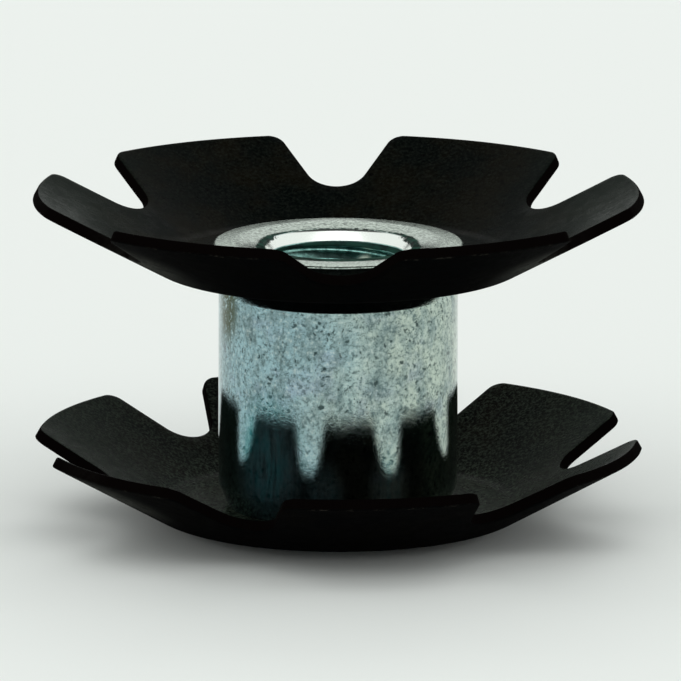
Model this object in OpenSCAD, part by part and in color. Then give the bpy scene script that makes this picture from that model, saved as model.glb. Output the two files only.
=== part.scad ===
// Star nut: two dished, notched spring-steel washers riveted to the ends of a threaded barrel.
// It stands on the tail of the barrel, with the axis along Z. Every size is in millimetres.

/* [Star washers] */
// Diameter over the petal tips
washer_d = 26.8; // [25:0.1:32]
// Thickness of the spring steel sheet
sheet_t = 0.5; // [0.3:0.05:0.8]
// Number of petals
petals = 6; // [4:1:7]
// Diameter of the flat middle
flat_d = 14.6; // [13:0.1:16]
// Radius of the bend from the flat middle up into the petals, on the hollow side
bend_r = 1.3; // [0.6:0.1:2]
// Angle that the upper washer's petals rise from the flat
upper_dish_angle = 28.5; // [15:0.5:36]
// Angle that the lower washer's petals rise from the flat
lower_dish_angle = 29.5; // [15:0.5:36]
// Angle that the lower washer is turned from the upper one
lower_turn = 38.2; // [0:0.1:60]

/* [Notches between the petals] */
// Diameter of the circle that touches the bottoms of the notches
notch_circle_d = 19.9; // [19:0.1:22]
// Radius of the round bottom of a notch
notch_root_r = 1.4; // [0.6:0.1:1.6]
// Angle between the two straight sides of a notch
notch_angle = 52; // [20:1:60]
// Radius of the petals' tip corners
tip_corner_r = 0.75; // [0.2:0.05:1.2]

/* [Barrel] */
// Diameter of the barrel between the washers
barrel_d = 10.5; // [9.5:0.1:12]
// Length of the barrel between the washers
barrel_l = 10.5; // [8:0.1:16]
// Diameter of the flat shoulders that the washers sit on
shoulder_d = 9.7; // [9.2:0.1:10.2]
// Length of the taper from each shoulder to the barrel's full diameter
taper_l = 1; // [0.4:0.1:1.6]
// Diameter of the bore, at the crests of the M6 thread
bore_d = 5; // [4:0.1:5.5]
// Diameter of the necks that pass through the washers
neck_d = 8.4; // [7.8:0.1:9]
// Gap all round between a neck and the hole in its washer
neck_play = 0.05; // [0.02:0.01:0.15]

/* [Riveted head, over the upper washer] */
// Diameter of the head
head_d = 10.94; // [9.8:0.1:12.5]
// Height of the head's crest over the washer
head_h = 0.73; // [0.6:0.05:1.2]
// Radius of the head's outer edge
head_edge_r = 0.12; // [0.05:0.05:0.4]
// Diameter of the crest, the ring where the face is highest
crest_d = 9.4; // [8.2:0.1:9.4]
// How far the face falls from its crest to the outer edge
crest_drop = 0.03; // [0:0.01:0.2]
// How far the face falls from its crest to the mouth
head_dip = 0.06; // [0:0.01:0.25]
// Diameter of the mouth
mouth_d = 6.6; // [6.2:0.1:7.6]
// Diameter of the throat, where the flared mouth ends and the lead-in to the thread starts
throat_d = 6; // [5.7:0.1:6.1]
// Depth of the throat under the mouth
throat_depth = 0.57; // [0.2:0.05:1]
// Depth of the lead-in to the thread
lead_in_depth = 0.35; // [0.2:0.05:0.8]

/* [Riveted tail, under the lower washer] */
// Diameter of the tail
tail_d = 10.6; // [9.5:0.1:12]
// Height of the tail under the washer
tail_h = 0.45; // [0.35:0.05:0.8]
// Radius of the tail's outer edge
tail_edge_r = 0.25; // [0.1:0.05:0.3]
// Diameter of the tail's lead-in at its foot
tail_mouth_d = 6.4; // [5.8:0.1:7.4]
// Depth of the tail's lead-in
tail_mouth_depth = 0.5; // [0.2:0.05:0.8]

/* [Hidden] */
$fn = 96;
washer_r = washer_d / 2;
hole_r = neck_d / 2 + neck_play;
// Undersides of the two washers, and the top of the rivet head
lower_z = tail_h;
upper_z = lower_z + sheet_t + barrel_l;
top_z = upper_z + sheet_t + head_h;
// Half the angle of a notch, between its centre line and a side
notch_half = notch_angle / 2;
// How far a cutter runs past what it cuts, and how far a tip corner's round runs past the rim
past = 1;
rim_bite = 0.01;

// Points along an arc about a centre, from one angle to another
function arc(centre, r, from, to, steps = 8) = [
    for (i = [0 : steps])
        let (angle = from + (to - from) * i / steps)
        centre + r * [cos(angle), sin(angle)]
];

// Length of the straight part of a petal along its slope
function petal_l(dish) = (washer_r - flat_d / 2 - (bend_r + sheet_t) * sin(dish)) / cos(dish);

// Radius at which the flat's top and the slope's top would meet in a sharp corner
function corner_r(dish) = flat_d / 2 + bend_r * tan(dish / 2);

// Distance up the slope from that corner, of a point at radius r on the centre line of a notch
function up_slope(r, dish) = (r - corner_r(dish)) / cos(dish);

// Radius of the petal tips' top edge, which leans in because the rim stands square to the slope
function tip_r(dish) = washer_r - sheet_t * sin(dish);

// Distance up the slope of the rim's lower edge, at v to the side of the notch's centre line
function rim_u(v, dish) = up_slope(tip_r(dish), dish)
    - (washer_r - sqrt(washer_r * washer_r - v * v)) * cos(dish);

// Angle by which the rim turns away there, seen square to the slope
function rim_turn(v, dish) = atan(v / sqrt(washer_r * washer_r - v * v) * cos(dish));

// Centre of the round root of a notch, up the slope
function root_u(dish) = up_slope(notch_circle_d / 2, dish) + notch_root_r;

// Half the width of a notch at u up the slope, along its straight sides
function half_width(u, dish) = notch_root_r / cos(notch_half) + (u - root_u(dish)) * tan(notch_half);

// Centre of a tip corner's round at u up the slope: that far in from the notch's side
function corner_v(u, dish) = half_width(u, dish) + tip_corner_r / cos(notch_half);

// Place up the slope where that round also meets the rim, closed in on in a few steps
function corner_u(dish, steps = 6) = steps == 0 ? up_slope(tip_r(dish), dish)
    : let (v = corner_v(corner_u(dish, steps - 1), dish))
      rim_u(v, dish) - (tip_corner_r - rim_bite) / cos(rim_turn(v, dish));

// One side of a notch, from where it leaves the round root to past the rim at the tip corner
function notch_side(dish) =
    let (
        u = corner_u(dish),
        v = corner_v(u, dish),
        root_touch = [root_u(dish), 0] + notch_root_r * [-sin(notch_half), cos(notch_half)],
        corner = arc([u, v], tip_corner_r, notch_half - 90, rim_turn(v, dish))
    )
    concat([root_touch], corner, [[up_slope(washer_r, dish) + past, corner[len(corner) - 1][1]]]);

// Section of the dished sheet to the right of the axis, its underside at height 0
module sheet_section(dish) {
    bend = [flat_d / 2, sheet_t + bend_r];
    under = arc(bend, bend_r + sheet_t, -90, dish - 90);
    over = arc(bend, bend_r, dish - 90, -90);
    slope = petal_l(dish) * [cos(dish), sin(dish)];
    rim = [under[len(under) - 1] + slope, over[0] + slope];
    polygon(concat([[hole_r, 0]], under, rim, over, [[hole_r, sheet_t]]));
}

// Cutter for one notch, its flat outline stood square to the slope of the petals
module notch(dish) {
    depth = sheet_t + bend_r + past;
    side = notch_side(dish);
    other_side = [for (i = [len(side) - 1 : -1 : 0]) [side[i][0], -side[i][1]]];
    translate([corner_r(dish), 0, sheet_t])
        rotate([0, -dish, 0])
            translate([0, 0, -depth])
                linear_extrude(2 * depth) {
                    translate([root_u(dish), 0])
                        circle(notch_root_r);
                    polygon(concat(side, other_side));
                }
}

// A dished washer with its notches, the first petal's centre line along +X
module star_washer(dish) {
    difference() {
        rotate_extrude()
            sheet_section(dish);
        for (i = [0 : petals - 1])
            rotate((i + 0.5) * 360 / petals)
                notch(dish);
    }
}

// What a round of radius r leaves of a square corner, for the corner at +X and +Y
module corner_waste(r) {
    difference() {
        square(r + past);
        circle(r);
    }
}

module upper_star_washer() {
    color("#26282a")
        translate([0, 0, upper_z])
            star_washer(upper_dish_angle);
}

module lower_star_washer() {
    color("#222425")
        translate([0, 0, lower_z])
            rotate(lower_turn)
                star_washer(lower_dish_angle);
}

// Turned barrel: bore, lead-ins, shoulders that the washers sit on, and the two riveted ends
module barrel_section() {
    bore_r = bore_d / 2;
    mouth_z = top_z - head_dip;
    edge_z = top_z - crest_drop;
    difference() {
        polygon([
            [bore_r, tail_mouth_depth],
            [tail_mouth_d / 2, 0],
            [tail_d / 2, 0],
            [tail_d / 2, lower_z],
            [neck_d / 2, lower_z],
            [neck_d / 2, lower_z + sheet_t],
            [shoulder_d / 2, lower_z + sheet_t],
            [barrel_d / 2, lower_z + sheet_t + taper_l],
            [barrel_d / 2, upper_z - taper_l],
            [shoulder_d / 2, upper_z],
            [neck_d / 2, upper_z],
            [neck_d / 2, upper_z + sheet_t],
            [head_d / 2, upper_z + sheet_t],
            [head_d / 2, edge_z],
            [head_d / 2 - head_edge_r, edge_z],
            [crest_d / 2, top_z],
            [mouth_d / 2, mouth_z],
            [throat_d / 2, mouth_z - throat_depth],
            [bore_r, mouth_z - throat_depth - lead_in_depth]
        ]);
        translate([head_d / 2 - head_edge_r, edge_z - head_edge_r])
            corner_waste(head_edge_r);
        translate([tail_d / 2 - tail_edge_r, tail_edge_r])
            mirror([0, 1])
                corner_waste(tail_edge_r);
    }
}

module threaded_barrel() {
    color("#9aa7a8")
        rotate_extrude()
            barrel_section();
}

upper_star_washer();
lower_star_washer();
threaded_barrel();
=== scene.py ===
from math import atan2, cos, pi, radians, sin, sqrt, tan

import bmesh
import bpy
from mathutils import Matrix, Vector


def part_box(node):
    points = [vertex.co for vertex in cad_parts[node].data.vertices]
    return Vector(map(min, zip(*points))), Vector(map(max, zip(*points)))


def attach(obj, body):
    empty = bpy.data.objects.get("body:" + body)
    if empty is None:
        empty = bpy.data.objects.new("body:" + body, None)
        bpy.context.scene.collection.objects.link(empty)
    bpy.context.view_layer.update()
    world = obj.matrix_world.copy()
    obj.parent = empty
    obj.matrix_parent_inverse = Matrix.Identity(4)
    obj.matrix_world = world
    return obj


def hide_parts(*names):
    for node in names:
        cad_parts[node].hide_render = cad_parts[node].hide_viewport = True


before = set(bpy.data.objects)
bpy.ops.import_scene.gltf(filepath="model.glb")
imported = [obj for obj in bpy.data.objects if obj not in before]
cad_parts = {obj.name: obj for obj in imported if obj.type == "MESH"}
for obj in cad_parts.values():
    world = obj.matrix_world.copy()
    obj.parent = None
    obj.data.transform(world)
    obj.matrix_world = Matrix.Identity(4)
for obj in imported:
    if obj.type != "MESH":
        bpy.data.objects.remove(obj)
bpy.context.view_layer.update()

MM = 0.001

# ---------------------------------------------------------------------------------------------
# Threaded barrel. It is turned from one steel bar and tapped M6 right through. Its necks go
# through the two star washers, and both ends are then rolled over like rivets. It is bright
# zinc plated, which leaves a blue-grey skin with small pits, streaks and handling scratches.
# ---------------------------------------------------------------------------------------------
tail_foot, head_top = (corner.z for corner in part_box("threaded_barrel"))
head_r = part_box("threaded_barrel")[1].x
lower_washer_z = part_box("lower_star_washer")[0].z
upper_washer_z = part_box("upper_star_washer")[0].z

sheet_t = 0.5 * MM
neck_r = 4.2 * MM
shoulder_r = 4.85 * MM
barrel_r = 5.25 * MM
taper_l = 1.0 * MM
taper_round_r = 0.6 * MM
tail_r = 5.3 * MM
tail_edge_r = 0.25 * MM
edge_r = 0.06 * MM
head_edge_r = 0.12 * MM
head_edge_z = head_top - 0.03 * MM
crest_r = 4.6 * MM
crest_round_r = 1.5 * MM
mouth_r = 3.3 * MM
mouth_lip_r = 0.2 * MM
mouth_z = head_top - 0.11 * MM
throat_r = 3.0 * MM
throat_z = head_top - 0.63 * MM
flare_foot_r = throat_r + 0.03 * MM
flare_foot_z = throat_z + 0.05 * MM
lead_in_depth = 0.35 * MM
tail_mouth_r = 3.2 * MM
tail_mouth_depth = 0.5 * MM

thread_crest_r = 2.5 * MM
thread_root_r = 3.0 * MM
thread_pitch = 1.0 * MM
# Half the widths of the thread's flat root and crest, as shares of the pitch
root_half = 1 / 16
crest_half = 1 / 8
steps_around = 144
steps_per_pitch = 16
arc_steps = 6
# Points closer together than this are welded into one
weld_gap = 0.001 * MM


def rounded_line(corners):
    """Points along a line of (radius, height, rounding) corners, with an arc at each rounding."""
    points = []
    for i, (x, z, rounding) in enumerate(corners):
        corner = Vector((x, z))
        if not rounding:
            points.append(corner)
            continue
        back = (Vector(corners[i - 1][:2]) - corner).normalized()
        ahead = (Vector(corners[i + 1][:2]) - corner).normalized()
        half = back.angle(ahead) / 2
        centre = corner + (back + ahead).normalized() * rounding / sin(half)
        start = corner + back * rounding / tan(half) - centre
        end = corner + ahead * rounding / tan(half) - centre
        for k in range(arc_steps + 1):
            points.append(centre + start.lerp(end, k / arc_steps).normalized() * rounding)
    return points


def turned_body():
    """The outside of the barrel, from the throat in its head round to the mouth in its tail."""
    over = upper_washer_z + sheet_t
    under = lower_washer_z + sheet_t
    outline = rounded_line([
        (throat_r, throat_z, 0),
        (flare_foot_r, flare_foot_z, 0),
        (mouth_r, mouth_z, mouth_lip_r),
        (crest_r, head_top, crest_round_r),
        (head_r, head_edge_z, head_edge_r),
        (head_r, over, edge_r / 2),
        (neck_r, over, 0),
        (neck_r, upper_washer_z, 0),
        (shoulder_r, upper_washer_z, edge_r),
        (barrel_r, upper_washer_z - taper_l, taper_round_r),
        (barrel_r, under + taper_l, taper_round_r),
        (shoulder_r, under, edge_r),
        (neck_r, under, 0),
        (neck_r, lower_washer_z, 0),
        (tail_r, lower_washer_z, edge_r / 2),
        (tail_r, tail_foot, tail_edge_r),
        (tail_mouth_r, tail_foot, 0),
    ])
    body = bmesh.new()
    line = [body.verts.new((p.x, 0, p.y)) for p in outline]
    edges = [body.edges.new(pair) for pair in zip(line, line[1:])]
    bmesh.ops.spin(body, geom=line + edges, cent=(0, 0, 0), axis=(0, 0, 1),
                   angle=2 * pi, steps=steps_around)
    return body


def step(tree, kind, inputs=None, output=0, **settings):
    """Adds one node, sets or links its inputs, and gives back one of its outputs."""
    node = tree.nodes.new(kind)
    for name, value in settings.items():
        setattr(node, name, value)
    for name, value in (inputs or {}).items():
        if isinstance(value, bpy.types.NodeSocket):
            tree.links.new(value, node.inputs[name])
        else:
            node.inputs[name].default_value = value
    return node.outputs[output]


def calc(tree, operation, a, b=0.0, c=0.0):
    """One step of arithmetic in a node tree."""
    return step(tree, "ShaderNodeMath", {0: a, 1: b, 2: c}, operation=operation)


def product(tree, first, *others):
    """All the values multiplied."""
    for value in others:
        first = calc(tree, "MULTIPLY", first, value)
    return first


def largest(tree, first, *others):
    """The largest of the values."""
    for value in others:
        first = calc(tree, "MAXIMUM", first, value)
    return first


def axes_of(tree, place):
    """The X, Y and Z of a place."""
    parts = tree.nodes.new("ShaderNodeSeparateXYZ")
    tree.links.new(place, parts.inputs[0])
    return tuple(parts.outputs)


def lead_to(tree, kind, name, value):
    """Leads a value to an input of the tree's last node."""
    tree.links.new(value, tree.nodes.new(kind).inputs[name])


def finish_tree(tree, geometry, material):
    """Ends a geometry tree: its shape is made real and given its material."""
    real = step(tree, "GeometryNodeRealizeInstances", {"Geometry": geometry})
    skin = step(tree, "GeometryNodeSetMaterial", {"Geometry": real, "Material": material})
    lead_to(tree, "NodeGroupOutput", "Geometry", skin)


def new_tree(name, inputs):
    """An empty geometry tree with named inputs, and the sockets that its inputs come in on."""
    tree = bpy.data.node_groups.new(name, "GeometryNodeTree")
    for label, kind in inputs:
        tree.interface.new_socket(label, in_out="INPUT", socket_type=kind)
    tree.interface.new_socket("Geometry", in_out="OUTPUT", socket_type="NodeSocketGeometry")
    given = tree.nodes.new("NodeGroupInput").outputs
    return tree, given


def made_by(tree, name, mesh, values):
    """A plain mesh object: what the tree makes of a mesh with these values for its named inputs."""
    piece = bpy.data.objects.new(name, mesh)
    bpy.context.scene.collection.objects.link(piece)
    modifier = piece.modifiers.new("made", "NODES")
    modifier.node_group = tree
    for item in tree.interface.items_tree:
        if item.in_out == "INPUT" and item.name in values:
            modifier[item.identifier] = values[item.name]
    bpy.context.view_layer.update()
    seen = piece.evaluated_get(bpy.context.evaluated_depsgraph_get())
    piece.data = bpy.data.meshes.new_from_object(seen)
    piece.modifiers.remove(modifier)
    return piece


def tapped_bore_tree():
    """A flat grid rolled into the bore. Its rows climb one pitch a turn and follow the thread's
    profile, and where a lead-in is wider than the thread, they lie on the lead-in."""
    tree, given = new_tree("tapped bore", [
        ("Pitch", "NodeSocketFloat"),
        ("Crest Radius", "NodeSocketFloat"),
        ("Root Radius", "NodeSocketFloat"),
        ("Foot Height", "NodeSocketFloat"),
        ("Foot Mouth Radius", "NodeSocketFloat"),
        ("Foot Mouth Slope", "NodeSocketFloat"),
        ("Top Height", "NodeSocketFloat"),
        ("Top Mouth Radius", "NodeSocketFloat"),
        ("Top Mouth Slope", "NodeSocketFloat"),
        ("Steps Around", "NodeSocketInt"),
        ("Rows Per Pitch", "NodeSocketInt"),
        ("Material", "NodeSocketMaterial"),
    ])
    bore_l = calc(tree, "SUBTRACT", given["Top Height"], given["Foot Height"])
    pitches = calc(tree, "CEIL", calc(tree, "DIVIDE", bore_l, given["Pitch"]))
    pitches = calc(tree, "ADD", pitches, 1.0)
    rows = calc(tree, "MULTIPLY_ADD", pitches, given["Rows Per Pitch"], 1.0)
    grid = step(tree, "GeometryNodeMeshGrid", {
        "Size X": 1.0,
        "Size Y": 1.0,
        "Vertices X": calc(tree, "ADD", given["Steps Around"], 1.0),
        "Vertices Y": rows,
    })
    across, along, _ = axes_of(tree, step(tree, "GeometryNodeInputPosition"))
    turn = calc(tree, "ADD", across, 0.5)
    climb = product(tree, calc(tree, "ADD", along, 0.5), pitches)
    # Height in pitches over the foot, along a row that starts one pitch under it
    level = calc(tree, "SUBTRACT", calc(tree, "ADD", climb, turn), 1.0)
    height = calc(tree, "MULTIPLY_ADD", level, given["Pitch"], given["Foot Height"])
    height = calc(tree, "MAXIMUM", height, given["Foot Height"])
    height = calc(tree, "MINIMUM", height, given["Top Height"])
    # Profile of the thread, by the distance in pitches from the middle of the root
    off_root = calc(tree, "SUBTRACT", calc(tree, "FRACT", climb), 0.5)
    depth = step(tree, "ShaderNodeMapRange", {
        "Value": calc(tree, "ABSOLUTE", off_root),
        "From Min": root_half,
        "From Max": 0.5 - crest_half,
        "To Min": given["Root Radius"],
        "To Max": given["Crest Radius"],
    })
    from_foot = calc(tree, "SUBTRACT", height, given["Foot Height"])
    from_top = calc(tree, "SUBTRACT", given["Top Height"], height)
    foot_lead = calc(tree, "SUBTRACT", given["Foot Mouth Radius"],
                     product(tree, from_foot, given["Foot Mouth Slope"]))
    top_lead = calc(tree, "SUBTRACT", given["Top Mouth Radius"],
                    product(tree, from_top, given["Top Mouth Slope"]))
    radius = largest(tree, depth, foot_lead, top_lead)
    angle = product(tree, turn, 2 * pi)
    place = step(tree, "ShaderNodeCombineXYZ", {
        "X": product(tree, radius, calc(tree, "COSINE", angle)),
        "Y": product(tree, radius, calc(tree, "SINE", angle)),
        "Z": height,
    })
    rolled = step(tree, "GeometryNodeSetPosition", {"Geometry": grid, "Position": place})
    finish_tree(tree, rolled, given["Material"])
    return tree


def new_material(name):
    """An empty material, its tree and its object coordinates in millimetres."""
    material = bpy.data.materials.new(name)
    material.use_nodes = True
    tree = material.node_tree
    tree.nodes.clear()
    place = step(tree, "ShaderNodeTexCoord", output="Object")
    place = step(tree, "ShaderNodeVectorMath", {0: place, "Scale": 1 / MM}, operation="SCALE")
    return material, tree, place


def stretched(tree, place, x, y, z):
    """The coordinates, stretched so that a pattern on them is drawn out along an axis."""
    return step(tree, "ShaderNodeVectorMath", {0: place, 1: (x, y, z)}, operation="MULTIPLY")


def length(tree, line):
    """The length of a line."""
    return step(tree, "ShaderNodeVectorMath", {0: line}, output="Value", operation="LENGTH")


def noise(tree, place, scale, detail=4.0, roughness=0.6):
    """Cloudy noise about 0.5."""
    return step(tree, "ShaderNodeTexNoise", {
        "Vector": place, "Scale": scale, "Detail": detail, "Roughness": roughness,
    })


def between(tree, value, low, high, to_low=0.0, to_high=1.0):
    """A value moved from one range to another, and held inside it."""
    return step(tree, "ShaderNodeMapRange", {
        "Value": value, "From Min": low, "From Max": high, "To Min": to_low, "To Max": to_high,
    }, interpolation_type="SMOOTHSTEP")


def above(tree, value, level, soft):
    """1 where a value is over a level and 0 where it is under it, with a soft edge."""
    return between(tree, value, level - soft, level + soft)


def below(tree, value, level, soft):
    """1 where a value is under a level and 0 where it is over it, with a soft edge."""
    return between(tree, value, level + soft, level - soft)


def near(tree, place, spot, solid, reach):
    """1 close to a spot on the piece, fading to 0 at its reach, and drawn out along Z."""
    off = step(tree, "ShaderNodeVectorMath", {0: place, 1: spot}, operation="SUBTRACT")
    return between(tree, length(tree, stretched(tree, off, 1, 1, mark_z_share)), reach, solid)


def blend(tree, share, first, second):
    """Two colours mixed by a share of the second."""
    return step(tree, "ShaderNodeMixRGB", {"Fac": share, "Color1": first, "Color2": second})


def layered(tree, colour, layers):
    """A colour with others laid over it in turn, each by its own share."""
    for share, over in layers:
        colour = blend(tree, share, colour, over)
    return colour


def pits(tree, place, scale, size, share):
    """Small round marks: 1 in the middle of a mark and 0 off it. A share of the cells has one."""
    cell = tree.nodes.new("ShaderNodeTexVoronoi")
    cell.inputs["Scale"].default_value = scale
    tree.links.new(place, cell.inputs["Vector"])
    chance = step(tree, "ShaderNodeSeparateColor", {0: cell.outputs["Color"]})
    reach = between(tree, chance, 0.0, share, size, 0.0)
    reach = calc(tree, "ADD", reach, least_reach)
    return between(tree, calc(tree, "DIVIDE", cell.outputs["Distance"], reach), 0.5, 1.0, 1.0, 0.0)


zinc_blue = (0.32, 0.49, 0.54, 1)
zinc_straw = (0.53, 0.62, 0.54, 1)
zinc_violet = (0.31, 0.37, 0.50, 1)
patch_grey = (0.17, 0.25, 0.26, 1)
blotch_grey = (0.14, 0.20, 0.20, 1)
streak_grey = (0.20, 0.23, 0.19, 1)
grain_dark = (0.10, 0.15, 0.15, 1)
grain_light = (0.66, 0.75, 0.72, 1)
pit_dark = (0.02, 0.04, 0.04, 1)
stain_olive = (0.05, 0.07, 0.035, 1)
face_light = (0.51, 0.58, 0.52, 1)
face_dark = (0.19, 0.23, 0.20, 1)
face_pit = (0.05, 0.06, 0.06, 1)
burnished = (0.95, 0.98, 0.95, 1)
bore_green = (0.27, 0.50, 0.46, 1)
bore_dark = (0.05, 0.14, 0.13, 1)
painted_glint_pale = (0.80, 0.90, 0.76, 1)
shade_black = (0.003, 0.009, 0.007, 1)
shade_green = (0.012, 0.045, 0.032, 1)
reflection_blue = (0.02, 0.35, 0.39, 1)

# What the zones of the head add to the roughness, and what the marks take from the metal
face_rough = 0.22
flare_rough = 0.17
bore_rough = 0.22
reflection_loss = 0.11
painted_glint_loss = 0.4
grain_height = 0.008 * MM
scratch_slant = (0.2, radians(38), 0.0)
# What a pit's reach never falls under, so that it can be divided by
least_reach = 0.0001

# Zones of the head in millimetres: radii from the axis, and heights over the foot
face_inner_r = 3.30
bore_outer_r = 3.07
face_level = 12.54
flare_level = 12.09
# Marks, each with its spot in millimetres, how far from there it is solid, and its reach. Only
# this share of a distance counts along Z, which draws them out.
mark_z_share = 0.6
stain_mark = ((-4.85, -2.0, 10.1), 0.4, 1.3)
painted_glint_mark = ((1.15, 2.35, 11.45), 0.1, 0.45)
reflection_marks = (
    (1.0, ((-3.2, -4.3, 3.6), 0.4, 2.3)),
    (0.5, ((2.2, -4.8, 2.7), 0.2, 1.2)),
    (0.4, ((-0.7, -5.2, 2.4), 0.2, 1.2)),
)


def zinc_plate():
    """Zinc plate: blue-grey and cloudy, thick with dark specks. The rolled face of the head is dull
    and grainy, with painted shade on its front, its flared mouth is burnished, and painted shade
    sits in the crease between them. A painted highlight lies on the bore's far wall, and a painted
    reflection lies low on the front."""
    material, tree, place = new_material("zinc plate")
    sideways, forward, height = axes_of(tree, place)
    across = stretched(tree, place, 1, 1, 0)
    radius = length(tree, across)
    face = product(tree, above(tree, height, face_level, 0.04),
                   above(tree, radius, face_inner_r, 0.03))
    flare = product(tree, below(tree, radius, face_inner_r, 0.03),
                    above(tree, height, flare_level, 0.03))
    inside = product(tree, below(tree, radius, bore_outer_r, 0.03),
                     below(tree, height, flare_level, 0.03))

    cloud = noise(tree, place, 0.30, 3.0)
    violet_cloud = noise(tree, place, 0.55, 3.0)
    patch = noise(tree, stretched(tree, place, 1, 1, 0.5), 1.3, 6.0, 0.65)
    blotch = noise(tree, place, 2.6, 3.0)
    streak = noise(tree, stretched(tree, place, 6, 6, 0.5), 1.0, 5.0, 0.7)
    grain = noise(tree, place, 6.0, 4.0, 0.75)
    fine = noise(tree, place, 13.0, 3.0, 0.7)
    # Pits of uneven shape, thicker in some places than in others
    wander = step(tree, "ShaderNodeTexNoise", {
        "Vector": place, "Scale": 4.0, "Detail": 3.0,
    }, output=1)
    ragged = step(tree, "ShaderNodeVectorMath", {0: wander, "Scale": 0.5}, operation="SCALE")
    ragged = step(tree, "ShaderNodeVectorMath", {0: place, 1: ragged}, operation="ADD")
    dense = between(tree, noise(tree, place, 0.45, 3.0), 0.36, 0.62, 0.4, 1.0)
    pit = pits(tree, ragged, 1.7, 0.24, 0.8)
    fine_pit = product(tree, pits(tree, ragged, 3.6, 0.46, 0.85), dense)
    slant = step(tree, "ShaderNodeMapping", {
        "Vector": ragged, "Rotation": scratch_slant,
    })
    scratch = noise(tree, stretched(tree, slant, 7, 7, 0.7), 1.0, 2.0)
    scratch = product(tree, between(tree, scratch, 0.68, 0.72), 0.6)
    mark = largest(tree, pit, fine_pit, scratch)
    # An olive stain under the upper washer
    stain = product(tree, near(tree, place, *stain_mark),
                    between(tree, calc(tree, "ADD", streak, grain), 0.78, 0.98))
    # A painted highlight, a pale glint on the bore's far wall
    painted_glint = near(tree, place, *painted_glint_mark)

    tint = calc(tree, "MULTIPLY_ADD", cloud, 12.0, sideways)
    colour = blend(tree, between(tree, tint, 3.0, 9.5), zinc_blue, zinc_straw)
    colour = layered(tree, colour, (
        (between(tree, violet_cloud, 0.5, 0.7, 0.0, 0.5), zinc_violet),
        (between(tree, patch, 0.40, 0.70, 0.0, 0.85), patch_grey),
        (between(tree, blotch, 0.47, 0.62, 0.0, 0.35), blotch_grey),
        (between(tree, streak, 0.5, 0.8, 0.0, 0.4), streak_grey),
        (between(tree, grain, 0.50, 0.62, 0.0, 0.8), grain_dark),
        (between(tree, grain, 0.47, 0.34, 0.0, 0.45), grain_light),
        (product(tree, mark, 0.85), pit_dark),
        (stain, stain_olive),
    ))
    dull = blend(tree, between(tree, grain, 0.38, 0.62), face_light, face_dark)
    dull = layered(tree, dull, (
        (between(tree, fine_pit, 0.2, 0.8, 0.0, 0.8), face_pit),
        # Painted shade: the front of the face is darkened
        (between(tree, forward, -3.6, -4.9, 0.0, 0.35), face_dark),
    ))

    # Painted shade, speckled and matt, lies round the mouth, widest in front, at both ends of the
    # flare and under the throat
    crease = product(tree, between(tree, radius, 3.95, 3.30, 0.0, 0.78),
                     between(tree, forward, 3.2, 1.6, 0.75, 1.0))
    front = step(tree, "ShaderNodeVectorMath", {0: across, 1: (0, -0.75, 0)},
                 operation="DISTANCE", output="Value")
    front = between(tree, front, 3.95, 3.35, 0.0, 0.90)
    crease = product(tree, largest(tree, crease, front), face)
    ends = product(tree, between(tree, calc(tree, "ABSOLUTE", sideways), 2.0, 3.2, 0.0, 0.75),
                   between(tree, height, 12.20, 12.50),
                   below(tree, radius, 3.45, 0.10))
    lip = product(tree, below(tree, height, 12.06, 0.04),
                  below(tree, radius, 3.20, 0.05),
                  above(tree, height, 11.88, 0.04))
    painted_shade = calc(tree, "SUBTRACT", largest(tree, crease, ends, lip), grain)
    painted_shade = between(tree, painted_shade, -0.03, 0.08, 0.0, 0.97)
    shade_blend = blend(tree, between(tree, patch, 0.4, 0.6), shade_black, shade_green)

    # A painted reflection: a thin blue-green tint low down on the front, standing for the petals'
    # teal reflection, dulls the metal in places
    painted_reflection = largest(tree, *(product(tree, near(tree, place, *spot), strength)
                           for strength, spot in reflection_marks))
    painted_reflection = product(tree, painted_reflection, between(tree, calc(tree, "ADD", patch, streak), 0.7, 1.2, 0.4, 1.2))

    colour = layered(tree, colour, (
        (face, dull),
        (flare, burnished),
        (inside, bore_green),
        (product(tree, inside, between(tree, patch, 0.42, 0.58, 0.0, 0.8)), bore_dark),
        (painted_glint, painted_glint_pale),
        (painted_shade, shade_blend),
        (product(tree, painted_reflection, 0.55), reflection_blue),
    ))

    rough = between(tree, patch, 0.3, 0.8, 0.02, 0.055)
    face_edge = product(tree, face, between(tree, radius, 4.2, 4.7, 0.3, 1.0))
    for zone, rougher in ((face_edge, face_rough), (flare, flare_rough), (inside, bore_rough)):
        rough = calc(tree, "MULTIPLY_ADD", zone, rougher, rough)
    relief = calc(tree, "MULTIPLY_ADD", fine, 0.5, product(tree, grain, 0.9))
    plain = calc(tree, "SUBTRACT", 1.0, product(tree, flare, 0.85))
    plain = calc(tree, "MULTIPLY_ADD", face, -0.5, plain)
    bump = step(tree, "ShaderNodeBump", {
        "Height": product(tree, relief, plain), "Strength": 0.6, "Distance": grain_height,
    })
    metal = calc(tree, "MULTIPLY_ADD", painted_reflection, -reflection_loss, 0.998)
    metal = calc(tree, "MULTIPLY_ADD", painted_glint, -painted_glint_loss, metal)
    metal = calc(tree, "MAXIMUM", calc(tree, "SUBTRACT", metal, painted_shade), 0.0)
    shader = step(tree, "ShaderNodeBsdfPrincipled", {
        "Base Color": colour,
        "Roughness": rough,
        "Normal": bump,
        "Metallic": metal,
        "Specular IOR Level": 0.0,
    })
    lead_to(tree, "ShaderNodeOutputMaterial", "Surface", shader)
    return material


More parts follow.
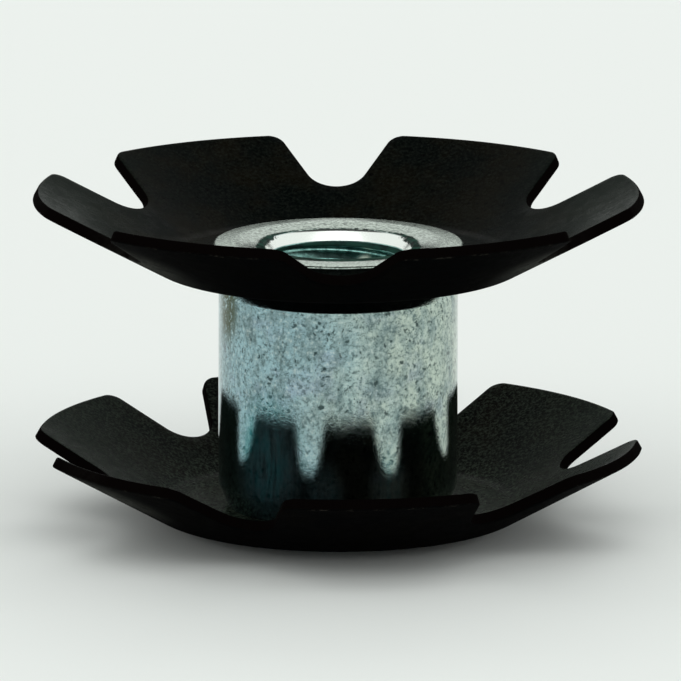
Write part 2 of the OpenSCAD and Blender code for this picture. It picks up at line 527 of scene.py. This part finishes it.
zinc = zinc_plate()
bore = made_by(tapped_bore_tree(), "bore", bpy.data.meshes.new("bore"), {
    "Pitch": thread_pitch,
    "Crest Radius": thread_crest_r,
    "Root Radius": thread_root_r,
    "Foot Height": tail_foot,
    "Foot Mouth Radius": tail_mouth_r,
    "Foot Mouth Slope": (tail_mouth_r - thread_crest_r) / tail_mouth_depth,
    "Top Height": throat_z,
    "Top Mouth Radius": throat_r,
    "Top Mouth Slope": (throat_r - thread_crest_r) / lead_in_depth,
    "Steps Around": steps_around,
    "Rows Per Pitch": steps_per_pitch,
    "Material": zinc,
})
body = turned_body()
body.from_mesh(bore.data)
bmesh.ops.remove_doubles(body, verts=body.verts, dist=weld_gap)
bmesh.ops.recalc_face_normals(body, faces=body.faces)
for face in body.faces:
    face.smooth = True
barrel_mesh = bpy.data.meshes.new("threaded barrel")
body.to_mesh(barrel_mesh)
body.free()
bpy.data.objects.remove(bore)
barrel_mesh.materials.append(zinc)
barrel = bpy.data.objects.new("zinc_plated_barrel", barrel_mesh)
bpy.context.scene.collection.objects.link(barrel)
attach(barrel, "root")
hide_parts("threaded_barrel")

# ---------------------------------------------------------------------------------------------
# Star washers. Each is stamped from spring steel sheet as a flat blank with six petals, pressed
# into a dish, hardened and blackened. The petals' tips bite the tube that the nut is driven
# into. The two are alike, but the lower one is a degree steeper and sits turned on the barrel.
# ---------------------------------------------------------------------------------------------
washer_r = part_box("upper_star_washer")[1].x
petal_count = 6
hole_r = 4.25 * MM
flat_r = 7.3 * MM
bend_r = 1.3 * MM
upper_dish = radians(28.5)
lower_dish = radians(29.5)
lower_turn = radians(38.2)
notch_bottom_r = 9.95 * MM
notch_root_r = 1.4 * MM
notch_half = radians(26)
tip_corner_r = 0.75 * MM
stamped_edge_r = 0.09 * MM
stamped_edge_steps = 3
stamped_edge_angle = radians(50)

# Rows of the blank's grid over each part of it, and steps across a petal. The rows over the web
# start a margin up the slope, and bow out from the notches into the petal by the power.
middle_rows = 7
bend_rows = 8
web_rows = 6
root_steps = 12
side_steps = 12
corner_steps = 9
petal_steps = 32
centring_rounds = 6
web_margin = 0.3 * MM
bow_power = 16


def half_notch(dish):
    """Points along half of a notch on the blank, from its bottom to the rim: its round root, its
    straight side and the petal's round tip corner. Each has its distance from the axis and its
    angle from the notch's centre line."""
    slope_start_r = flat_r + bend_r * sin(dish)
    slope_start = flat_r + bend_r * dish
    corner = flat_r + bend_r * tan(dish / 2)
    tip_r = washer_r - sheet_t * sin(dish)

    def on_blank(u, v):
        """Distance from the axis on the blank, and angle from the notch, of a point u up the
        slope and v to the side of the notch's centre line on the pressed washer."""
        a = sin(dish) ** 2 / cos(dish)
        b = cos(dish)
        c = u + corner / cos(dish)
        q = (b * c - a * sqrt(c * c + (b * b - a * a) * v * v)) / (b * b - a * a)
        r = sqrt(q * q + v * v)
        return slope_start + (r - slope_start_r) / cos(dish), atan2(v, q)

    def up_slope(r):
        """Distance up the slope of a point at radius r, along the notch's centre line."""
        return (r - corner) / cos(dish)

    root_u = up_slope(notch_bottom_r) + notch_root_r

    def side_v(u):
        """Half the width of the notch at u up the slope, along its straight side."""
        return notch_root_r / cos(notch_half) + (u - root_u) * tan(notch_half)

    def rim_u(v):
        """Distance up the slope of the rim, at v to the side of the notch's centre line."""
        return up_slope(tip_r) - (washer_r - sqrt(washer_r ** 2 - v * v)) * cos(dish)

    def rim_turn(v):
        """Angle by which the rim turns away there."""
        return v / sqrt(washer_r ** 2 - v * v) * cos(dish)

    # Centre of the tip corner's round, closed in on in a few rounds
    tip_u = up_slope(tip_r)
    for _ in range(centring_rounds):
        tip_v = side_v(tip_u) + tip_corner_r / cos(notch_half)
        tip_u = rim_u(tip_v) - tip_corner_r / cos(rim_turn(tip_v))

    side = []
    for k in range(root_steps + 1):
        angle = (pi / 2 + notch_half) + (pi / 2 - notch_half) * (1 - k / root_steps)
        side.append((root_u + notch_root_r * cos(angle), notch_root_r * sin(angle)))
    start_angle = notch_half - pi / 2
    turn = rim_turn(tip_v) - start_angle
    touch = (tip_u + tip_corner_r * cos(start_angle), tip_v + tip_corner_r * sin(start_angle))
    last = side[-1]
    for k in range(1, side_steps):
        share = k / side_steps
        side.append(tuple(a + (b - a) * share for a, b in zip(last, touch)))
    for k in range(corner_steps + 1):
        angle = start_angle + turn * k / corner_steps
        side.append((tip_u + tip_corner_r * cos(angle), tip_v + tip_corner_r * sin(angle)))
    edge = [on_blank(u, v) for u, v in side]
    rim = slope_start + (tip_r - slope_start_r) / cos(dish)
    edge[-1] = (rim, edge[-1][1])
    return edge


def petal_blank(dish):
    """One petal of the flat blank, with its share of the middle, centred on +X."""
    sector = pi / petal_count
    slope_start = flat_r + bend_r * dish
    web_start = slope_start + web_margin
    edge = half_notch(dish)
    notch_bottom = edge[0][0]
    rim = edge[-1][0]

    # Rows of the middle, closer together over the bend, then up the centre line of the notch
    rows = [(hole_r + (flat_r - hole_r) * k / middle_rows, 0) for k in range(middle_rows)]
    rows += [(flat_r + (slope_start - flat_r) * k / bend_rows, 0) for k in range(bend_rows + 1)]
    first_web_row = len(rows)
    rows += [(web_start + (notch_bottom - web_start) * k / web_rows, 0) for k in range(web_rows)]
    rows += edge
    last_row = len(rows) - 1

    blank = bmesh.new()
    grid = []
    for j, (distance, off_notch) in enumerate(rows):
        line = []
        for i in range(petal_steps + 1):
            across = 2 * i / petal_steps - 1
            share = max(0, j - first_web_row) / (last_row - first_web_row)
            middle = web_start + (rim - web_start) * share if j >= first_web_row else distance
            bow = 1 - abs(across) ** bow_power
            d = distance + (middle - distance) * bow
            angle = across * (sector - off_notch)
            line.append(blank.verts.new((d * cos(angle), d * sin(angle), 0)))
        grid.append(line)
    for low, high in zip(grid, grid[1:]):
        for i in range(petal_steps):
            blank.faces.new((low[i], high[i], high[i + 1], low[i + 1]))
    mesh = bpy.data.meshes.new("petal blank")
    blank.to_mesh(mesh)
    blank.free()
    return mesh


def star_washer_tree():
    """Petals of the blank set round the axis, joined, pressed into a dish and given thickness.
    The cut edges and the hollow side are marked for the finish."""
    tree, given = new_tree("star washer", [
        ("Petal", "NodeSocketGeometry"),
        ("Petals", "NodeSocketInt"),
        ("Turn", "NodeSocketFloat"),
        ("Flat Radius", "NodeSocketFloat"),
        ("Bend Radius", "NodeSocketFloat"),
        ("Dish Angle", "NodeSocketFloat"),
        ("Sheet Thickness", "NodeSocketFloat"),
        ("Height", "NodeSocketFloat"),
        ("Material", "NodeSocketMaterial"),
    ])
    seats = step(tree, "GeometryNodeMeshLine", {
        "Count": given["Petals"], "Offset": (0.0, 0.0, 0.0),
    })
    number = step(tree, "GeometryNodeInputIndex")
    share = calc(tree, "DIVIDE", number, given["Petals"])
    angle = calc(tree, "MULTIPLY_ADD", share, 2 * pi, given["Turn"])
    ring = step(tree, "GeometryNodeInstanceOnPoints", {
        "Points": seats,
        "Instance": given["Petal"],
        "Rotation": step(tree, "ShaderNodeCombineXYZ", {"Z": angle}),
    })
    ring = step(tree, "GeometryNodeRealizeInstances", {"Geometry": ring})
    blank = step(tree, "GeometryNodeMergeByDistance", {"Geometry": ring, "Distance": weld_gap})

    flat = step(tree, "GeometryNodeInputPosition")
    distance = length(tree, flat)
    outward = step(tree, "ShaderNodeVectorMath", {0: flat}, operation="NORMALIZE")
    past_flat = calc(tree, "SUBTRACT", distance, given["Flat Radius"])
    bent = calc(tree, "DIVIDE", past_flat, given["Bend Radius"])
    bent = calc(tree, "MINIMUM", calc(tree, "MAXIMUM", bent, 0.0), given["Dish Angle"])
    sine = calc(tree, "SINE", bent)
    cosine = calc(tree, "COSINE", bent)
    bend_length = product(tree, given["Bend Radius"], given["Dish Angle"])
    past_bend = calc(tree, "MAXIMUM", calc(tree, "SUBTRACT", past_flat, bend_length), 0.0)
    radius = calc(tree, "MINIMUM", distance, given["Flat Radius"])
    radius = calc(tree, "MULTIPLY_ADD", given["Bend Radius"], sine, radius)
    radius = calc(tree, "MULTIPLY_ADD", past_bend, cosine, radius)
    rise = product(tree, given["Bend Radius"], calc(tree, "SUBTRACT", 1.0, cosine))
    rise = calc(tree, "MULTIPLY_ADD", past_bend, sine, rise)
    rise = calc(tree, "ADD", rise, calc(tree, "ADD", given["Height"], given["Sheet Thickness"]))

    def pressed(thickness):
        """Where a point of the blank goes, this far under the top face of the dish."""
        r = calc(tree, "MULTIPLY_ADD", thickness, sine, radius)
        z = calc(tree, "SUBTRACT", rise, product(tree, thickness, cosine))
        level = step(tree, "ShaderNodeCombineXYZ", {"Z": z})
        out = step(tree, "ShaderNodeVectorMath", {0: outward, "Scale": r}, operation="SCALE")
        return step(tree, "ShaderNodeVectorMath", {0: out, 1: level}, operation="ADD")

    walls = tree.nodes.new("GeometryNodeExtrudeMesh")
    tree.links.new(blank, walls.inputs["Mesh"])
    walls.inputs["Offset Scale"].default_value = 0.0
    walls.inputs["Individual"].default_value = False
    top = step(tree, "GeometryNodeSwitch", {
        "Switch": walls.outputs["Top"],
        "False": pressed(given["Sheet Thickness"]),
        "True": pressed(0.0),
    }, input_type="VECTOR")
    marked = walls.outputs["Mesh"]
    for mark, faces in (("cut edge", "Side"), ("hollow side", "Top")):
        marked = step(tree, "GeometryNodeStoreNamedAttribute", {
            "Geometry": marked, "Name": mark, "Value": walls.outputs[faces],
        }, data_type="FLOAT", domain="FACE")
    top = step(tree, "GeometryNodeSetPosition", {"Geometry": marked, "Position": top})
    under = step(tree, "GeometryNodeFlipFaces", {"Mesh": blank})
    under = step(tree, "GeometryNodeSetPosition", {
        "Geometry": under, "Position": pressed(given["Sheet Thickness"]),
    })
    join = tree.nodes.new("GeometryNodeJoinGeometry")
    tree.links.new(top, join.inputs[0])
    tree.links.new(under, join.inputs[0])
    whole = step(tree, "GeometryNodeMergeByDistance", {
        "Geometry": join.outputs[0], "Distance": weld_gap,
    })
    smooth = step(tree, "GeometryNodeSetShadeSmooth", {"Geometry": whole})
    finish_tree(tree, smooth, given["Material"])
    return tree


oxide_blue = (0.0011, 0.0019, 0.0017, 1)
oxide_brown = (0.0036, 0.0032, 0.0018, 1)
under_shade = (0.0010, 0.0009, 0.0011, 1)
oxide_pit = (0.0004, 0.0004, 0.0004, 1)
speck_grey = (0.020, 0.022, 0.020, 1)
sheen_green = (0.0026, 0.0062, 0.0038, 1)
dust_sheen_grey = (0.043, 0.058, 0.041, 1)
under_sheen_grey = (0.088, 0.091, 0.080, 1)
cut_black = (0.0018, 0.0010, 0.0009, 1)
wear_highlight_steel = (0.12, 0.11, 0.09, 1)

# What the cut edges and the undersides add to the roughness
cut_rough = 0.20
under_rough = 0.40
speckle_height = 0.02 * MM

# Radius in millimetres of the worn edge under a rim, painted light as an edge highlight too, and
# how far in from it the top edge lies
rim_wear_highlight_r = 13.30
top_edge_in = 0.17
# Marks of painted reflection, each with its spot in millimetres, how far from there it is solid,
# and its reach
under_sheen_marks = (
    ((-8.6, -5.9, 13.0), 0.3, 3.2),
    ((8.9, -5.9, 13.1), 0.3, 3.0),
    ((-9.4, -6.2, 2.6), 0.3, 2.9),
)


def black_oxide():
    """Blackened spring steel: nearly black, with a fine speckle, olive and brown tints and a faint
    sheen. Dust lies in the hollow sides, painted light so that it stands for a sheen as well, and a
    green painted sheen lies on the left and right petals. The undersides and the cut edges are
    more matt and painted darker as shade, a grey painted reflection lies low on the undersides,
    and the oxide has worn through in dots along the rims of the petals, painted light so that they
    also stand for edge highlights."""
    material, tree, place = new_material("black oxide")
    sideways, forward, height = axes_of(tree, place)
    radius = length(tree, stretched(tree, place, 1, 1, 0))
    cut = step(tree, "ShaderNodeAttribute", output=2, attribute_name="cut edge")
    hollow = step(tree, "ShaderNodeAttribute", output=2, attribute_name="hollow side")
    cloud = noise(tree, place, 0.35, 4.0)
    smear = noise(tree, place, 1.5, 6.0, 0.65)
    speck = noise(tree, place, 7.0, 4.0, 0.75)
    pit = pits(tree, place, 2.6, 0.4, 0.5)

    # Painted sheen: a green tint on the hollow sides of the left and right petals
    side_sheen = product(tree, hollow,
                    between(tree, calc(tree, "ABSOLUTE", sideways), 7.5, 12.0, 0.0, 0.8))
    # Grey-green dust lies in the hollow sides, most of it on the flat of the lower washer, painted
    # light so that it stands for a sheen as well
    dust_and_sheen = product(tree, hollow,
                   between(tree, height, 9.0, 6.0, 0.15, 1.0),
                   between(tree, forward, -5.0, -2.0, 0.1, 1.0),
                   between(tree, height, 2.0, 1.1, 0.62, 1.0),
                   between(tree, speck, 0.42, 0.66, 0.0, 0.93))
    # Painted reflection: a grey sheen low on the undersides, standing for their grazing reflection
    # of the pale room
    under_sheen = largest(tree, *(near(tree, place, *spot) for spot in under_sheen_marks))
    under_sheen = product(tree, under_sheen,
                   calc(tree, "MULTIPLY_ADD", hollow, -0.6, 0.6),
                   between(tree, calc(tree, "ADD", smear, speck), 0.80, 1.15, 0.15, 1.0))
    # Wear dots along the rims, painted light so that they also stand for the edge highlights
    rim = calc(tree, "MULTIPLY_ADD", hollow, -top_edge_in, rim_wear_highlight_r)
    off_rim = calc(tree, "ABSOLUTE", calc(tree, "SUBTRACT", radius, rim))
    wear_and_highlight = product(tree, between(tree, off_rim, 0.08, 0.03),
                   between(tree, speck, 0.48, 0.60),
                   between(tree, cut, 1.0, 0.6),
                   between(tree, smear, 0.46, 0.60),
                   calc(tree, "MULTIPLY_ADD", hollow, 0.35, 0.2))

    colour = blend(tree, between(tree, cloud, 0.38, 0.66), oxide_blue, oxide_brown)
    colour = layered(tree, colour, (
        # Painted shade: the undersides and the cut edges are painted darker than the hollow sides
        (calc(tree, "MULTIPLY_ADD", hollow, -0.8, 0.8), under_shade),
        (between(tree, speck, 0.55, 0.70, 0.0, 0.12), speck_grey),
        (side_sheen, sheen_green),
        (dust_and_sheen, dust_sheen_grey),
        (under_sheen, under_sheen_grey),
        (between(tree, pit, 0.0, 1.0, 0.0, 0.7), oxide_pit),
        (product(tree, cut, 0.8), cut_black),
        (wear_and_highlight, wear_highlight_steel),
    ))

    rough = between(tree, smear, 0.3, 0.75, 0.22, 0.36)
    rough = calc(tree, "MULTIPLY_ADD", between(tree, speck, 0.45, 0.6), 0.10, rough)
    rough = calc(tree, "MULTIPLY_ADD", cut, cut_rough, rough)
    rough = calc(tree, "MULTIPLY_ADD", hollow, -under_rough, calc(tree, "ADD", rough, under_rough))
    relief = calc(tree, "MULTIPLY_ADD", speck, 0.7, smear)
    bump = step(tree, "ShaderNodeBump", {
        "Height": relief, "Strength": 0.3, "Distance": speckle_height,
    })
    shader = step(tree, "ShaderNodeBsdfPrincipled", {
        "Base Color": colour, "Roughness": rough, "Normal": bump, "IOR": 1.042,
    })
    lead_to(tree, "ShaderNodeOutputMaterial", "Surface", shader)
    return material


oxide = black_oxide()
washer_tree = star_washer_tree()
for name, node, dish, turn, height in (
    ("black_upper_washer", "upper_star_washer", upper_dish, 0.0, upper_washer_z),
    ("black_lower_washer", "lower_star_washer", lower_dish, lower_turn, lower_washer_z),
):
    washer = made_by(washer_tree, name, petal_blank(dish), {
        "Petals": petal_count,
        "Turn": turn,
        "Flat Radius": flat_r,
        "Bend Radius": bend_r,
        "Dish Angle": dish,
        "Sheet Thickness": sheet_t,
        "Height": height,
        "Material": oxide,
    })
    bevel = washer.modifiers.new("stamped edge", "BEVEL")
    bevel.width = stamped_edge_r
    bevel.segments = stamped_edge_steps
    bevel.limit_method = "ANGLE"
    bevel.angle_limit = stamped_edge_angle
    bevel.use_clamp_overlap = False
    bevel.loop_slide = False
    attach(washer, "root")
    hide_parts(node)

# ---------------------------------------------------------------------------------------------
# Floor, lamps and camera. The nut stands on a pale table top in a pale room, with one softbox
# behind it and a wide one in front.
# ---------------------------------------------------------------------------------------------
pale = (0.839, 0.880, 0.847, 1)
room_white = (0.978, 0.98, 0.98, 1)
room_level = 0.82
ceiling_level = 0.06
wall_top = radians(50)
ceiling_edge = radians(60)
floor_size = 6.0
floor_mesh = bpy.data.meshes.new("floor")
corners = [(x * floor_size / 2, y * floor_size / 2, tail_foot)
           for x, y in ((-1, -1), (1, -1), (1, 1), (-1, 1))]
floor_mesh.from_pydata(corners, [], [(0, 1, 2, 3)])
floor = bpy.data.objects.new("floor", floor_mesh)
bpy.context.scene.collection.objects.link(floor)
floor_material = bpy.data.materials.new("pale table")
floor_material.use_nodes = True
floor_shader = floor_material.node_tree.nodes["Principled BSDF"]
floor_shader.inputs["Base Color"].default_value = pale
floor_shader.inputs["Roughness"].default_value = 0.9
floor_shader.inputs["Specular IOR Level"].default_value = 0.0
floor_mesh.materials.append(floor_material)

world = bpy.data.worlds.new("studio")
bpy.context.scene.world = world
world.use_nodes = True
sky = world.node_tree
sky.nodes.clear()
ray = sky.nodes.new("ShaderNodeLightPath").outputs
seen = largest(sky, ray["Is Camera Ray"], ray["Is Glossy Ray"], ray["Is Transmission Ray"])
room = step(sky, "ShaderNodeBackground", {"Color": room_white, "Strength": room_level})
# The walls are pale up to their top, and the ceiling over them is dark
_, _, upward = axes_of(sky, step(sky, "ShaderNodeTexCoord"))
walls = between(sky, upward, sin(wall_top), sin(ceiling_edge), 1.0, ceiling_level)
backdrop = step(sky, "ShaderNodeBackground", {"Color": pale, "Strength": walls})
light = step(sky, "ShaderNodeMixShader", {0: seen, 1: room, 2: backdrop})
lead_to(sky, "ShaderNodeOutputWorld", "Surface", light)

middle = Vector((0, 0, (tail_foot + head_top) / 2))


def softbox(name, turn, rise, distance, width, height, level):
    """A flat lamp that faces the nut. Its level is what it adds to a white sheet that faces it."""
    data = bpy.data.lights.new(name, "AREA")
    data.shape = "RECTANGLE"
    data.size = width
    data.size_y = height
    data.energy = level * pi * distance ** 2 * pi
    lamp = bpy.data.objects.new(name, data)
    away = Vector((cos(rise) * cos(turn), cos(rise) * sin(turn), sin(rise)))
    lamp.location = middle + away * distance
    lamp.rotation_euler = (-away).to_track_quat("-Z", "Y").to_euler()
    bpy.context.scene.collection.objects.link(lamp)


softbox("back softbox", turn=radians(88), rise=radians(40), distance=1.0,
        width=0.7, height=0.45, level=0.15)
softbox("front softbox", turn=radians(-90), rise=radians(45), distance=1.0,
        width=3.0, height=0.35, level=0.31)

camera_turn = radians(-90.53)
camera_rise = radians(11.484)
camera_distance = 516.37 * MM
camera_roll = radians(0.1416)
view_width = 29.816 * MM
aim = Vector((0.103 * MM, 0, 8.24 * MM))
view_centre = Vector((0, 0, upper_washer_z + sheet_t))
sensor_width = 36.0

camera_data = bpy.data.cameras.new("camera")
camera_data.sensor_width = sensor_width
camera_data.lens = sensor_width * camera_distance / view_width
camera = bpy.data.objects.new("camera", camera_data)
camera.location = view_centre + camera_distance * Vector((
    cos(camera_rise) * cos(camera_turn),
    cos(camera_rise) * sin(camera_turn),
    sin(camera_rise)))
look = (aim - camera.location).to_track_quat("-Z", "Y").to_matrix().to_4x4()
camera.rotation_euler = (look @ Matrix.Rotation(camera_roll, 4, "Z")).to_euler()
bpy.context.scene.collection.objects.link(camera)
bpy.context.scene.camera = camera
bpy.context.scene.view_settings.view_transform = "Standard"

bpy.context.view_layer.update()
